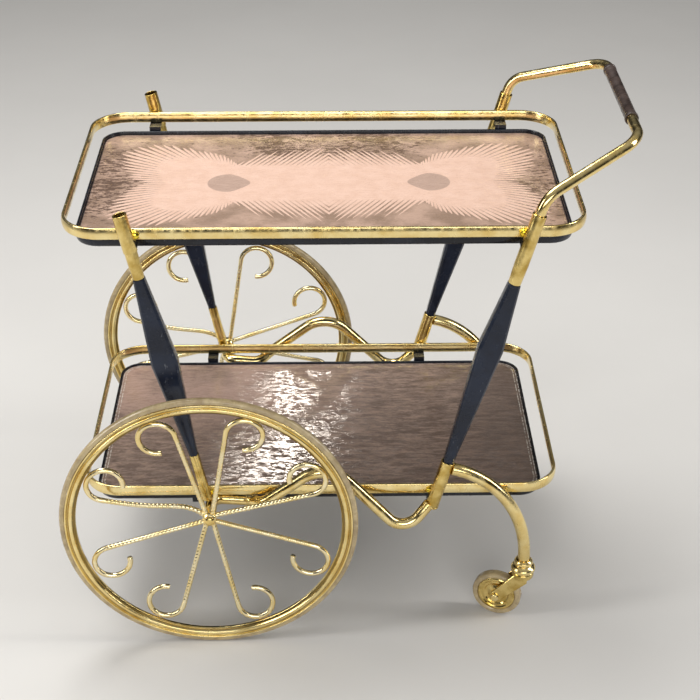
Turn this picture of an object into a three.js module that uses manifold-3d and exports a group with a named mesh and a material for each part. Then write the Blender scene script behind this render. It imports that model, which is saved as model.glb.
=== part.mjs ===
// Two-tier serving trolley: black trays inside brass gallery rails, four splayed legs with flat black
// spindles, two large scroll-spoked wheels, two swivel casters on curved arms, and a fixed push handle.
// Millimetres, +Z up. The floor is z = 0, the handle is at +X, and left is -Y, as the person pushing sees it.
import * as THREE from "three";
import { mergeVertices } from "three/addons/utils/BufferGeometryUtils.js";
import Module from "manifold-3d";

const wasm = await Module();
wasm.setup();

// ---- Driving dimensions ----
const GAP = 0.3; // between two pieces that rest against each other
const RUNNING_GAP = 0.4; // between a shaft and the bore that turns on it

const WHEEL = { x: -180, y: 247, radius: 200, tyreDepth: 7, tyreWidth: 10, rimDepth: 15, rimWidth: 12.6 };
const WHEEL_TURN = { left: 0, right: 0.8 }; // degrees each wheel stands turned round
// The wires come in pairs. Each pair fans out by its opening each side of its axis, in degrees.
const SPOKE_PAIRS = [
  { axis: 1, opening: 16 }, { axis: 92.2, opening: 12 },
  { axis: 180.5, opening: 14.7, bellied: -1 }, { axis: 268.4, opening: 13.9 },
];
const BELLY = 9.3; // how far the one bellied wire bows out near the hub
const SPOKE = { radius: 3.5, root: 6, offset: 2.7, reach: 177.5, dish: 4.4, scrollRadius: 24.2, scrollTurn: 268 };
const HUB = { y: 232, radius: 9.7, length: 14 }; // inboard of the rim, so the spokes are dished outwards
const AXLE_RADIUS = 4.5;

const RAIL = { height: 15.3, thickness: 6.7, cornerRadius: 53, softening: 2 };
const PAN = { cornerRadius: 32, height: 14.4, rim: 3.5, edgeRadius: 2 };
const PANEL_THICKNESS = 2;
const TOP_TIER = {
  railX: -22.1, railZ: 606, halfLength: 333, halfWidth: 193,
  panX: -22, panTop: 592.5, panHalfLength: 316.8, panHalfWidth: 171.8, recess: 5, bearerX: [-266, 233],
};
const BOTTOM_TIER = {
  railX: -29.7, railZ: 215.5, halfLength: 327.9, halfWidth: 192.5,
  panX: -31.9, panTop: 201.7, panHalfLength: 309.4, panHalfWidth: 172.5, recess: 3, bearerX: [-200, 124],
};
const BEARER = { width: 16, thickness: 2, hook: 2 }; // hook is how far it stops inside the rail's face

const LEG_Y = 202.6; // the two side frames stand just outside the rails
const LEG_TUBE = { outer: 9.2, inner: 7.4 }; // the handle legs' tubes
const HANDLE_SOCKET = { outer: 9.2, inner: 7.4, mouth: 8.2, taper: 26 }; // mouth is the outer radius at its lower end
const WHEEL_LEG_FOOT = { outer: 6.8, inner: 5.4 };
const WHEEL_LEG_HEAD = { outer: 8.2, inner: 6.7, mouth: 7.5, taper: 18 };
const WHEEL_LEG = { footX: -182.5, footZ: 202, topX: -272.5, topZ: 638 };
const HANDLE_LEG = { footX: 121.5, footZ: 197, topX: 242.5, topZ: 635 };
const WHEEL_LEG_JOINTS = { tubeFoot: 211, spindleFoot: 284, spindleTop: 551, tubeTop: 638 };
const HANDLE_LEG_JOINTS = { tubeFoot: 198, spindleFoot: 269, spindleTop: 540, tubeTop: 635 };
const TENON_LENGTH = 14;
const WHEEL_SPINDLE = {
  foot: { width: 11, thickness: 12, bevel: 2.4, tenon: 5.1 },
  widest: { width: 35, thickness: 20, bevel: 3.5, z: 430 },
  head: { width: 14.6, thickness: 15, bevel: 2.8, tenon: 6.4 },
};
const HANDLE_SPINDLE = {
  foot: { width: 13.6, thickness: 14, bevel: 2.8, tenon: 6.6 },
  widest: { width: 33, thickness: 20, bevel: 3.5, z: 445 },
  head: { width: 15.6, thickness: 16, bevel: 2.8, tenon: 6.6 },
};
const SLEEVE = { z: 588, outer: 9.2 }; // round the top of each wheel leg, from this height up

const S_BAR_RADIUS = 8;
const ARM_RADIUS = 8.5;
const HANDLE_RADIUS = 7;
const CASTER = { x: 252.5, y: 204, trail: 35, heading: 160, radius: 35, width: 15 };
const GRIP = { x: 371, z: 706, from: -73, to: 106, outer: 9 };
const HANDLE_CORNER = { y: 136, bendZ: 657, lowerRadius: 34, upperRadius: 42 };

// ---- Materials ----
const brass = new THREE.MeshStandardMaterial({ color: 0xd4aa55, roughness: 0.25, metalness: 1 });
const lacquer = new THREE.MeshStandardMaterial({ color: 0x14171d, roughness: 0.2, metalness: 0 });
const burstPanel = new THREE.MeshStandardMaterial({ color: 0xdcbfa9, roughness: 0.3, metalness: 0 });
const mirrorPanel = new THREE.MeshStandardMaterial({ color: 0x7d6b5f, roughness: 0.25, metalness: 0.3 });
const tyreRubber = new THREE.MeshStandardMaterial({ color: 0xb9b2a0, roughness: 0.6, metalness: 0 });
const gripSleeve = new THREE.MeshStandardMaterial({ color: 0x4a3f3c, roughness: 0.35, metalness: 0 });

const trolley = new THREE.Group();
const SIDES = [["left", -1], ["right", 1]];

// ---- Small tools ----
const degrees = THREE.MathUtils.degToRad;
const vector = (x, y, z) => new THREE.Vector3(x, y, z);

function add(name, geometry, material, parent = trolley) {
  const mesh = new THREE.Mesh(geometry, material);
  mesh.name = name;
  parent.add(mesh);
  return mesh;
}

function toSolid(geometry) {
  const bare = geometry.clone();
  bare.deleteAttribute("normal");
  bare.deleteAttribute("uv");
  const merged = mergeVertices(bare, 1e-3);
  const vertProperties = merged.attributes.position.array;
  const triVerts = new Uint32Array(merged.index.array);
  return new wasm.Manifold(new wasm.Mesh({ numProp: 3, vertProperties, triVerts }));
}

function toGeometry(solid) {
  const mesh = solid.getMesh();
  const geometry = new THREE.BufferGeometry();
  geometry.setAttribute("position", new THREE.BufferAttribute(mesh.vertProperties, 3));
  geometry.setIndex(new THREE.BufferAttribute(mesh.triVerts, 1));
  return geometry;
}

const joined = (...parts) => toGeometry(parts.map(toSolid).reduce((whole, part) => whole.add(part)));
const cut = (body, ...tools) =>
  toGeometry(tools.map(toSolid).reduce((left, tool) => left.subtract(tool), toSolid(body)));

// A solid of revolution about Y. The profile is a list of [radius, height] going up its outer side.
function turned(profile, sides) {
  return new THREE.LatheGeometry(profile.map(([r, y]) => new THREE.Vector2(r, y)), sides);
}

const rod = (radius, from, to, sides) => turned([[0, from], [radius, from], [radius, to], [0, to]], sides);
const ring = (inner, outer, from, to, sides) =>
  turned([[inner, from], [outer, from], [outer, to], [inner, to], [inner, from]], sides);

function roundedRectangle(halfX, halfY, radius, Outline = THREE.Shape) {
  const outline = new Outline();
  const x = halfX - radius;
  const y = halfY - radius;
  outline.absarc(x, y, radius, 0, Math.PI / 2);
  outline.absarc(-x, y, radius, Math.PI / 2, Math.PI);
  outline.absarc(-x, -y, radius, Math.PI, 1.5 * Math.PI);
  outline.absarc(x, -y, radius, 1.5 * Math.PI, 2 * Math.PI);
  outline.closePath();
  return outline;
}

// A plate of the given outline from z = 0 to its height, with its edges eased inside the outline.
function plate(outline, height, easing, curveSegments = 3) {
  const options = { depth: height, bevelEnabled: false, curveSegments };
  if (easing) {
    options.depth = height - 2 * easing;
    options.bevelEnabled = true;
    options.bevelThickness = easing;
    options.bevelSize = easing;
    options.bevelOffset = -easing;
    options.bevelSegments = 1;
  }
  return new THREE.ExtrudeGeometry(outline, options).translate(0, 0, easing);
}

// A path known at chosen stops, so that straight stretches need no steps between their ends.
class StopPath extends THREE.Curve {
  constructor(stops) {
    super();
    this.stops = stops;
  }

  stop(u) {
    return this.stops[Math.round(u * (this.stops.length - 1))];
  }

  getPointAt(u) {
    return this.stop(u).at.clone();
  }

  getTangentAt(u) {
    return this.stop(u).along.clone();
  }
}

function roundSection(radius, sides) {
  const corners = [];
  for (let i = 0; i < sides; i++) {
    const angle = (2 * Math.PI * (i + 0.5)) / sides;
    corners.push(new THREE.Vector2(radius * Math.cos(angle), radius * Math.sin(angle)));
  }
  return new THREE.Shape(corners);
}

function tubeAlong(stops, radius, sides) {
  const options = { steps: stops.length - 1, bevelEnabled: false, extrudePath: new StopPath(stops) };
  return new THREE.ExtrudeGeometry(roundSection(radius, sides), options);
}

// The stops of an arc that starts at a point in a direction and turns about an axis.
function arcStops(start, along, axis, radius, turn, steps) {
  const inward = axis.clone().cross(along).normalize();
  const centre = start.clone().addScaledVector(inward, radius);
  const stops = [];
  for (let i = 0; i <= steps; i++) {
    const angle = (turn * i) / steps;
    const at = inward.clone().multiplyScalar(-radius).applyAxisAngle(axis, angle).add(centre);
    stops.push({ at, along: along.clone().applyAxisAngle(axis, angle) });
  }
  return stops;
}

// A bar bent round each inner corner of a polyline, with one bend radius for each of those corners.
function bentStops(corners, radii, stepDegrees = 16) {
  const heading = (i) => corners[i + 1].clone().sub(corners[i]).normalize();
  const stops = [{ at: corners[0].clone(), along: heading(0) }];
  radii.forEach((radius, i) => {
    const before = heading(i);
    const after = heading(i + 1);
    const turn = before.angleTo(after);
    const start = corners[i + 1].clone().addScaledVector(before, -radius * Math.tan(turn / 2));
    const axis = before.clone().cross(after).normalize();
    const steps = Math.max(2, Math.ceil(turn / degrees(stepDegrees)));
    stops.push(...arcStops(start, before, axis, radius, turn, steps));
  });
  stops.push({ at: corners[corners.length - 1].clone(), along: heading(corners.length - 2) });
  return stops;
}

// ---- Trays and their rails ----
function makeTier(prefix, tier) {
  const rail = roundedRectangle(tier.halfLength, tier.halfWidth, RAIL.cornerRadius);
  const inside = RAIL.cornerRadius - RAIL.thickness;
  const innerLength = tier.halfLength - RAIL.thickness;
  const innerWidth = tier.halfWidth - RAIL.thickness;
  rail.holes.push(roundedRectangle(innerLength, innerWidth, inside, THREE.Path));
  const railMesh = add(prefix + "_rail", plate(rail, RAIL.height, RAIL.softening), brass);
  railMesh.position.set(tier.railX, 0, tier.railZ - RAIL.height / 2);

  const outline = roundedRectangle(tier.panHalfLength, tier.panHalfWidth, PAN.cornerRadius);
  const wellLength = tier.panHalfLength - PAN.rim;
  const wellWidth = tier.panHalfWidth - PAN.rim;
  const wellRadius = PAN.cornerRadius - PAN.rim;
  const well = roundedRectangle(wellLength, wellWidth, wellRadius);
  const wellDepth = tier.recess + PANEL_THICKNESS + GAP;
  const wellTool = plate(well, wellDepth + 5, 0).translate(0, 0, PAN.height - wellDepth);
  const pan = add(prefix + "_tray_pan", cut(plate(outline, PAN.height, PAN.edgeRadius), wellTool), lacquer);
  pan.position.set(tier.panX, 0, tier.panTop - PAN.height);

  const sheet = roundedRectangle(wellLength - GAP, wellWidth - GAP, wellRadius - GAP);
  const material = tier === TOP_TIER ? burstPanel : mirrorPanel;
  const panel = add(prefix + "_tray_panel", plate(sheet, PANEL_THICKNESS, 0), material);
  panel.position.set(tier.panX, 0, tier.panTop - tier.recess - PANEL_THICKNESS);

  // A flat strap crosses under the pan, climbs its sides and hooks out under the rail.
  const under = tier.panTop - PAN.height - GAP;
  const top = tier.railZ - RAIL.height / 2 - GAP;
  const inner = tier.panHalfWidth + GAP;
  const outer = inner + BEARER.thickness;
  const hookEnd = tier.halfWidth - BEARER.hook;
  const half = [
    [inner, under], [inner, top], [hookEnd, top], [hookEnd, top - BEARER.thickness],
    [outer, top - BEARER.thickness], [outer, under - BEARER.thickness],
  ];
  const mirrored = half.map(([y, z]) => [-y, z]).reverse();
  const section = new THREE.Shape([...half, ...mirrored].map(([y, z]) => new THREE.Vector2(y, z)));
  ["wheel_end", "handle_end"].forEach((end, i) => {
    const strap = add(prefix + "_bearer_" + end, plate(section, BEARER.width, 0), lacquer);
    const across = new THREE.Matrix4().makeBasis(vector(0, 1, 0), vector(0, 0, 1), vector(1, 0, 0));
    strap.applyMatrix4(across.setPosition(tier.bearerX[i] - BEARER.width / 2, 0, 0));
  });
}

// ---- Legs ----
const legX = (leg, z) => leg.footX + ((z - leg.footZ) * (leg.topX - leg.footX)) / (leg.topZ - leg.footZ);
const legPoint = (leg, z, s) => vector(legX(leg, z), s * LEG_Y, z);

// A frame whose Y runs up the leg and whose Z is across the trolley.
function legMatrix(leg, z, s) {
  const up = legPoint(leg, leg.topZ, s).sub(legPoint(leg, leg.footZ, s)).normalize();
  const across = vector(0, 1, 0);
  const matrix = new THREE.Matrix4().makeBasis(up.clone().cross(across), up, across);
  return matrix.setPosition(legPoint(leg, z, s));
}

function onLeg(mesh, leg, z, s) {
  mesh.applyMatrix4(legMatrix(leg, z, s));
}

const alongLeg = (leg, fromZ, toZ) => legPoint(leg, fromZ, 1).distanceTo(legPoint(leg, toZ, 1));

// The eight corners of a spindle's bevelled section at a height.
function sectionCorners({ width, thickness, bevel }, y) {
  const w = width / 2;
  const t = thickness / 2;
  const quarter = [[w, t - bevel], [w - bevel, t]];
  return quarter.flatMap(([x, z]) => [[x, y, z], [-x, y, z], [x, y, -z], [-x, y, -z]]);
}

function spindleGeometry(leg, joints, { foot, widest, head }) {
  const length = alongLeg(leg, joints.spindleFoot, joints.spindleTop) - 2 * GAP;
  const middle = alongLeg(leg, joints.spindleFoot, widest.z) - GAP;
  const corners = [...sectionCorners(foot, 0), ...sectionCorners(widest, middle), ...sectionCorners(head, length)];
  const blade = toGeometry(wasm.Manifold.hull(corners));
  const footTenon = rod(foot.tenon, -TENON_LENGTH, 1, 12);
  const headTenon = rod(head.tenon, length - 1, length + TENON_LENGTH, 12);
  return joined(blade, footTenon, headTenon).translate(0, GAP, 0);
}

// A leg's tube. Its lower end tapers to the mouth's radius, if it has one.
function tubeGeometry(leg, fromZ, toZ, { outer, inner, mouth = outer, taper = 0 }) {
  const length = alongLeg(leg, fromZ, toZ);
  const tapered = taper ? [[mouth, 0], [outer, taper]] : [[outer, 0]];
  return turned([[inner, 0], ...tapered, [outer, length], [inner, length], [inner, 0]], 16);
}

function makeWheelLeg(side, s) {
  const leg = WHEEL_LEG;
  const at = WHEEL_LEG_JOINTS;
  const name = side + "_wheel_leg_";
  const foot = tubeGeometry(leg, at.tubeFoot, at.spindleFoot, WHEEL_LEG_FOOT);
  onLeg(add(name + "lower_tube", foot, brass), leg, at.tubeFoot, s);
  onLeg(add(name + "spindle", spindleGeometry(leg, at, WHEEL_SPINDLE), lacquer), leg, at.spindleFoot, s);
  const head = tubeGeometry(leg, at.spindleTop, at.tubeTop, WHEEL_LEG_HEAD);
  onLeg(add(name + "upper_tube", head, brass), leg, at.spindleTop, s);
  const sleeve = { outer: SLEEVE.outer, inner: WHEEL_LEG_HEAD.outer + GAP };
  onLeg(add(name + "sleeve", tubeGeometry(leg, SLEEVE.z, at.tubeTop, sleeve), brass), leg, SLEEVE.z, s);
  const plug = rod(WHEEL_LEG_HEAD.inner - GAP, -18, -8, 12);
  onLeg(add(name + "plug", plug, lacquer), leg, at.tubeTop, s);

  // A small tab brazed between the foot and the lower rail.
  const railFace = BOTTOM_TIER.halfWidth + GAP;
  const footFace = LEG_Y - WHEEL_LEG_FOOT.outer - GAP;
  const tab = add(name + "tab", new THREE.BoxGeometry(12, footFace - railFace, 9), brass);
  tab.position.set(legX(leg, BOTTOM_TIER.railZ), (s * (railFace + footFace)) / 2, BOTTOM_TIER.railZ);
}

function makeHandleLeg(side, s) {
  const leg = HANDLE_LEG;
  const at = HANDLE_LEG_JOINTS;
  const name = side + "_handle_leg_";
  const foot = tubeGeometry(leg, at.tubeFoot, at.spindleFoot, LEG_TUBE);
  onLeg(add(name + "lower_tube", foot, brass), leg, at.tubeFoot, s);
  onLeg(add(name + "spindle", spindleGeometry(leg, at, HANDLE_SPINDLE), lacquer), leg, at.spindleFoot, s);
  const socket = tubeGeometry(leg, at.spindleTop, at.tubeTop, HANDLE_SOCKET);
  onLeg(add(name + "socket", socket, brass), leg, at.spindleTop, s);
  const cap = turned([[0, -5], [6, -4.5], [9.4, -2.5], [9.4, -GAP], [7, -GAP], [7, 8], [0, 8]], 16);
  onLeg(add(name + "end_cap", cap, brass), leg, at.tubeFoot, s);
}

// The space a handle leg's lower end takes, with room round it, for cutting the bars that meet it.
function legClearance(s) {
  const below = 14;
  const tool = rod(LEG_TUBE.outer + 2 * GAP, -below, alongLeg(HANDLE_LEG, 198, 290), 16);
  return tool.applyMatrix4(legMatrix(HANDLE_LEG, HANDLE_LEG_JOINTS.tubeFoot, s));
}

// ---- Wave-shaped bars, caster arms and handle ----
// The bar starts as the wheel's axle, runs in under the rail, comes out round it into a hump, dips and
// rises to the foot of the handle leg.
function makeSBar(side, s) {
  const hubInner = HUB.y - HUB.length / 2;
  const hubOuter = HUB.y + HUB.length / 2;
  const barEnd = hubInner - 6;
  const axleFrom = barEnd - 16;
  const axleTo = hubOuter + 2;
  const corners = [
    vector(WHEEL.x, s * barEnd, WHEEL.radius),
    vector(WHEEL.x, s * 184.5, WHEEL.radius - 1),
    vector(-128, s * 184.5, 194.5),
    vector(-108, s * 204, 204),
    vector(-21, s * 205, 270.3),
    vector(83.5, s * 214, 158.4),
    vector(121.5, s * 203.5, 205),
  ];
  const bar = tubeAlong(bentStops(corners, [18, 20, 22, 46, 31], 20), S_BAR_RADIUS, 10);
  const bore = rod(AXLE_RADIUS + GAP, axleFrom - 1, HUB.y, 12).scale(1, s, 1);
  if (s < 0) bore.index.array.reverse();
  bore.translate(WHEEL.x, 0, WHEEL.radius);
  add(side + "_s_bar", cut(bar, bore, legClearance(s)), brass);

  const washer = [barEnd + GAP, hubInner - 0.5];
  const axle = turned(
    [[0, axleFrom], [AXLE_RADIUS, axleFrom], [AXLE_RADIUS, washer[0]], [8, washer[0]], [8, washer[1]],
      [AXLE_RADIUS, washer[1]], [AXLE_RADIUS, axleTo], [0, axleTo]],
    12,
  );
  const seat = axleTo + GAP;
  const nutFace = hubOuter + 0.6;
  const nutBore = AXLE_RADIUS + GAP;
  const nut = turned(
    [[0, seat], [nutBore, seat], [nutBore, nutFace], [7.2, nutFace], [7.2, nutFace + 1.4],
      [4.8, nutFace + 3.4], [0, nutFace + 4.2]],
    12,
  );
  for (const [name, geometry] of [["_stub_axle", axle], ["_axle_cap_nut", nut]]) {
    const mesh = add(side + name, geometry, brass);
    mesh.position.set(WHEEL.x, 0, WHEEL.radius);
    mesh.rotation.x = s < 0 ? Math.PI : 0;
  }
}

function makeCasterArm(side, s) {
  const y = s * CASTER.y;
  const start = vector(legX(HANDLE_LEG, 259), y, 259);
  const end = vector(CASTER.x, y, 108);
  const curve = new THREE.CubicBezierCurve3(start, vector(202, y, 250), vector(CASTER.x, y, 187), end);
  const stops = [];
  const steps = 12;
  for (let i = 0; i <= steps; i++) {
    stops.push({ at: curve.getPoint(i / steps), along: curve.getTangent(i / steps) });
  }
  stops.push({ at: vector(CASTER.x, y, 94), along: vector(0, 0, -1) });
  add(side + "_caster_arm", cut(tubeAlong(stops, ARM_RADIUS, 10), legClearance(s)), brass);

  // A small tab brazed between the arm and the lower rail, where the arm crosses it.
  const railFace = BOTTOM_TIER.halfWidth + GAP;
  const armFace = CASTER.y - ARM_RADIUS - GAP;
  const tab = add(side + "_arm_tab", new THREE.BoxGeometry(18, armFace - railFace, 9), brass);
  tab.position.set(216, (s * (railFace + armFace)) / 2, BOTTOM_TIER.railZ);

  // Collar and thrust ring that close the arm's end and hold the caster stem.
  const bore = 4 + RUNNING_GAP;
  const sleeve = ARM_RADIUS + GAP;
  const socket = add(side + "_caster_socket", turned(
    [[bore, 84], [15, 84], [17, 86], [17, 90.5], [15, 93], [11.5, 94.5], [13.2, 98], [12.4, 101.5],
      [10, 103.5], [sleeve, 103.5], [sleeve, 93.7], [bore, 93.7], [bore, 84]],
    16,
  ), brass);
  socket.rotation.x = Math.PI / 2;
  socket.position.set(CASTER.x, y, 0);
}

function makeHandle() {
  const inSocket = 606;
  const bend = (s) => legPoint(HANDLE_LEG, HANDLE_CORNER.bendZ, s);
  const corner = (s) => vector(GRIP.x, s * HANDLE_CORNER.y, GRIP.z);
  const corners = [
    legPoint(HANDLE_LEG, inSocket, -1), bend(-1), corner(-1), corner(1), bend(1), legPoint(HANDLE_LEG, inSocket, 1),
  ];
  const { lowerRadius, upperRadius } = HANDLE_CORNER;
  const stops = bentStops(corners, [lowerRadius, upperRadius, upperRadius, lowerRadius]);
  add("handle", tubeAlong(stops, HANDLE_RADIUS, 10), brass);
  const sleeve = add("handle_grip", ring(HANDLE_RADIUS + GAP, GRIP.outer, GRIP.from, GRIP.to, 16), gripSleeve);
  sleeve.position.set(GRIP.x, 0, GRIP.z);
}

// ---- Large wheels ----
// One spoke in the plane of its pair (X, Z), with the pair's axis along +X. It runs straight out of the hub and
// ends in an open scroll that turns away from its partner and just reaches the rim. A bellied wire bows out on
// the way, most of all a fifth of the way along.
function spokeStops(partner, opening, belly) {
  const lean = degrees(opening);
  const slope = Math.tan(lean);
  const { offset, scrollRadius } = SPOKE;
  const centreRadius = SPOKE.reach - SPOKE.radius - scrollRadius;
  const rise = offset + scrollRadius * Math.cos(lean);
  const rest = (scrollRadius * Math.sin(lean)) ** 2 + rise ** 2 - centreRadius ** 2;
  const square = 1 + slope ** 2;
  const straightTo = (Math.sqrt((slope * offset) ** 2 - square * rest) - slope * offset) / square;
  const line = (x) => vector(x, 0, partner * (offset + x * slope));
  const along = vector(Math.cos(lean), 0, partner * Math.sin(lean));
  const axis = vector(0, -partner, 0);
  const scroll = arcStops(line(straightTo), along, axis, scrollRadius, degrees(SPOKE.scrollTurn), 10);
  if (!belly) return [{ at: line(SPOKE.root), along }, ...scroll];

  const bowed = (share) => {
    const bow = (BELLY * 5 ** 5 * share * (1 - share) ** 4) / 4 ** 4;
    return line(SPOKE.root + share * (straightTo - SPOKE.root)).add(vector(0, 0, partner * bow));
  };
  const shares = [0, 0.05, 0.1, 0.16, 0.23, 0.32, 0.45, 0.65];
  const stops = shares.map((share) => ({ at: bowed(share), along: bowed(share + 0.01).sub(bowed(share - 0.01)).normalize() }));
  return [...stops, ...scroll];
}

function makeWheel(side, s) {
  const wheel = new THREE.Group();
  wheel.position.set(WHEEL.x, s * WHEEL.y, WHEEL.radius);
  trolley.add(wheel);
  const segments = 36;
  const rimOuter = WHEEL.radius - WHEEL.tyreDepth;
  const rimInner = rimOuter - WHEEL.rimDepth;
  const tyreHalf = WHEEL.tyreWidth / 2;
  const rimHalf = WHEEL.rimWidth / 2;
  const treadHalf = tyreHalf / 2;
  const tyre = turned(
    [[rimOuter + GAP, -tyreHalf], [WHEEL.radius - 3, -tyreHalf], [WHEEL.radius, -treadHalf],
      [WHEEL.radius, treadHalf], [WHEEL.radius - 3, tyreHalf], [rimOuter + GAP, tyreHalf],
      [rimOuter + GAP, -tyreHalf]],
    segments,
  );
  const rim = turned(
    [[rimInner, -rimHalf / 2], [rimInner + 4, -rimHalf], [rimOuter - 3, -rimHalf], [rimOuter, -tyreHalf],
      [rimOuter, tyreHalf], [rimOuter - 3, rimHalf], [rimInner + 4, rimHalf], [rimInner, rimHalf / 2],
      [rimInner, -rimHalf / 2]],
    segments,
  );
  add(side + "_wheel_tyre", tyre, tyreRubber, wheel);
  add(side + "_wheel_rim", rim, brass, wheel);

  const spokes = [];
  for (const { axis, opening, bellied } of SPOKE_PAIRS) {
    for (const partner of [-1, 1]) {
      const spoke = tubeAlong(spokeStops(partner, opening, partner === bellied), SPOKE.radius, 6);
      spokes.push(spoke.rotateZ(s * degrees(SPOKE.dish)).rotateY(-degrees(axis)));
    }
  }
  const half = HUB.length / 2;
  const hub = turned(
    [[0, -half], [HUB.radius - 2, -half], [HUB.radius, 2.5 - half], [HUB.radius, half - 2.5],
      [HUB.radius - 2, half], [0, half]],
    16,
  );
  const bore = rod(AXLE_RADIUS + RUNNING_GAP, -HUB.length, HUB.length, 12);
  const web = cut(joined(hub, ...spokes), bore);
  const spokesMesh = add(side + "_wheel_spokes", web, brass, wheel);
  spokesMesh.rotation.y = -degrees(WHEEL_TURN[side]);
  spokesMesh.position.y = s * (HUB.y - WHEEL.y);
}

// ---- Casters ----
// Built about the swivel axis with the wheel trailing along +X, then turned to its heading.
function makeCaster(side, s) {
  const caster = new THREE.Group();
  caster.position.set(CASTER.x, s * CASTER.y, 0);
  caster.rotation.z = degrees(-s * CASTER.heading);
  trolley.add(caster);
  const axleZ = CASTER.radius;
  const bossRadius = 8.5;
  const armInner = 10;
  const armThickness = 2.6;

  const crown = turned(
    [[0, 70], [9, 70], [15.5, 75], [15.5, 82], [14, 84 - GAP], [4, 84 - GAP], [4, 93.2], [0, 93.2]],
    16,
  ).rotateX(Math.PI / 2);
  const cheek = new THREE.Shape();
  cheek.moveTo(9, 80);
  cheek.lineTo(-9, 80);
  cheek.lineTo(-9, 70);
  cheek.absarc(CASTER.trail, axleZ, bossRadius, degrees(220), degrees(400));
  cheek.closePath();
  const cheeks = [armInner, -armInner - armThickness].map((y) =>
    plate(cheek, armThickness, 0, 6).rotateX(Math.PI / 2).translate(0, y + armThickness, 0));
  const pinHole = rod(3 + GAP, -30, 30, 12).translate(CASTER.trail, 0, axleZ);
  add(side + "_caster_fork", cut(joined(crown, ...cheeks), pinHole), brass, caster);

  const shoulder = armInner + armThickness + GAP;
  const pin = turned(
    [[0, -shoulder - 4], [4.5, -shoulder - 4], [6, -shoulder - 2.5], [6, -shoulder], [3, -shoulder],
      [3, shoulder], [6, shoulder], [6, shoulder + 2.5], [4.5, shoulder + 4], [0, shoulder + 4]],
    12,
  );
  const bore = 3 + RUNNING_GAP;
  const disc = turned(
    [[bore, -8.5], [7, -8.5], [8, -5], [14, -3], [20, -5.5], [26, -6.5], [27, -5], [27, 5], [26, 6.5],
      [20, 5.5], [14, 3], [8, 5], [7, 8.5], [bore, 8.5], [bore, -8.5]],
    20,
  );
  const half = CASTER.width / 2;
  const outer = CASTER.radius;
  const tyre = turned(
    [[27 + GAP, -6], [30, -half], [outer - 2, 1 - half], [outer, 3 - half], [outer, half - 3],
      [outer - 2, half - 1], [30, half], [27 + GAP, 6], [27 + GAP, -6]],
    20,
  );
  for (const [name, geometry, material] of [
    ["_caster_axle", pin, brass], ["_caster_disc", disc, brass], ["_caster_tyre", tyre, tyreRubber],
  ]) {
    add(side + name, geometry, material, caster).position.set(CASTER.trail, 0, axleZ);
  }
}

makeTier("top", TOP_TIER);
makeTier("bottom", BOTTOM_TIER);
for (const [side, s] of SIDES) {
  makeWheelLeg(side, s);
  makeHandleLeg(side, s);
  makeSBar(side, s);
  makeCasterArm(side, s);
  makeWheel(side, s);
  makeCaster(side, s);
}
makeHandle();

export default trolley;
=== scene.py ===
import math

import bmesh
import bpy
from mathutils import Matrix, Vector


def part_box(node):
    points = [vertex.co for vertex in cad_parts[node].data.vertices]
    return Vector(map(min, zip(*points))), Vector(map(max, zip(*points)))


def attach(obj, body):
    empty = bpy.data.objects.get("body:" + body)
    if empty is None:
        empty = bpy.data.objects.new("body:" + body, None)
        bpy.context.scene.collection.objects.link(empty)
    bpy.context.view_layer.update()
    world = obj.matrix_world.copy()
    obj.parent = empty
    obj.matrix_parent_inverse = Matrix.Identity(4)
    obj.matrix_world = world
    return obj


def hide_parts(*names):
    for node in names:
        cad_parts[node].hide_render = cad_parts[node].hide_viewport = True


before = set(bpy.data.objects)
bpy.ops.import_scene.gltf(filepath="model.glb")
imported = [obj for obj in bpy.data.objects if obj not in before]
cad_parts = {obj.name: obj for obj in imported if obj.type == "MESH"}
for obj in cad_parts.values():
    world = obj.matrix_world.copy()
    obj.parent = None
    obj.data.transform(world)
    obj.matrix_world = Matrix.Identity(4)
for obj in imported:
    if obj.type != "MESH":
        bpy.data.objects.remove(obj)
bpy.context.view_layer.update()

# The looks of a two-tier serving trolley: brass rails, wheels and bars, black lacquered trays and spindles.
# Metres, in the frame of the CAD model: +Z up, the floor at z = 0, the handle at +X, the left side at -Y.

SIDES = (("left", -1), ("right", 1))
UP = Vector((0, 0, 1))
ACROSS = Vector((0, 1, 0))

# ---- Sizes that the frame's boxes don't give ----
RAIL_THICKNESS = 0.0067
RAIL_CORNER = 0.053
PAN_CORNER = 0.032
PAN_RIM = 0.0035
PANEL_GAP = 0.0003
PANEL_CORNER = PAN_CORNER - PAN_RIM - PANEL_GAP

LEG_Y = 0.2026
LEG_TUBE = {"outer": 0.0092, "inner": 0.0074}  # the handle legs' tubes
HANDLE_SOCKET = {"outer": 0.0092, "inner": 0.0074, "mouth": 0.0082, "taper": 0.026}
WHEEL_LEG_FOOT = {"outer": 0.0068, "inner": 0.0054}
WHEEL_LEG_HEAD = {"outer": 0.0082, "inner": 0.0067, "mouth": 0.0075, "taper": 0.018}
SLEEVE = {"outer": 0.0092, "inner": 0.0085}
SLEEVE_Z = 0.588
WHEEL_LEG = {"foot": (-0.1825, 0.202), "top": (-0.2725, 0.638)}
HANDLE_LEG = {"foot": (0.1215, 0.197), "top": (0.2425, 0.635)}
# The heights of each leg's joints.
WHEEL_LEG_JOINTS = {
    "tube_foot": 0.211, "spindle_foot": 0.284, "widest": 0.430, "spindle_top": 0.551, "top": 0.638,
}
HANDLE_LEG_JOINTS = {
    "tube_foot": 0.198, "spindle_foot": 0.269, "widest": 0.445, "spindle_top": 0.540, "top": 0.635,
}
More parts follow.
